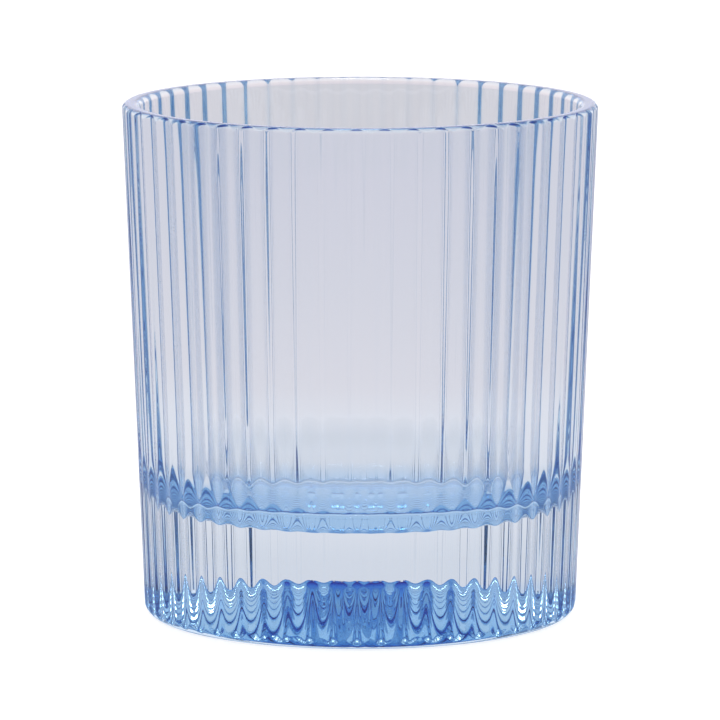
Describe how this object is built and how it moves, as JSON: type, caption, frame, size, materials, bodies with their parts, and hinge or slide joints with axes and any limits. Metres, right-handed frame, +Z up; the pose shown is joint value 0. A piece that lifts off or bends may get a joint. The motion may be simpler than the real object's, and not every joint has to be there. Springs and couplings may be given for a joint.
{
  "type": "ribbed glass vase",
  "caption": "Wide-mouthed, straight-sided glass vase with a fluted outside, a smooth bore, a thick solid base and a domed underside.",
  "frame": {"origin": "centre of the bearing ring, on the surface the vase stands on", "axes": "+Z up along the axis of the vessel, +Y away from the side that is seen from the front"},
  "size_m": [0.0874, 0.0874, 0.095],
  "materials": {
    "glass": "fire-polished, faint blue tint that deepens at the edges and in the base"
  },
  "bodies": {
    "root": {"glass_body": "glass"}
  },
  "joints": []
}
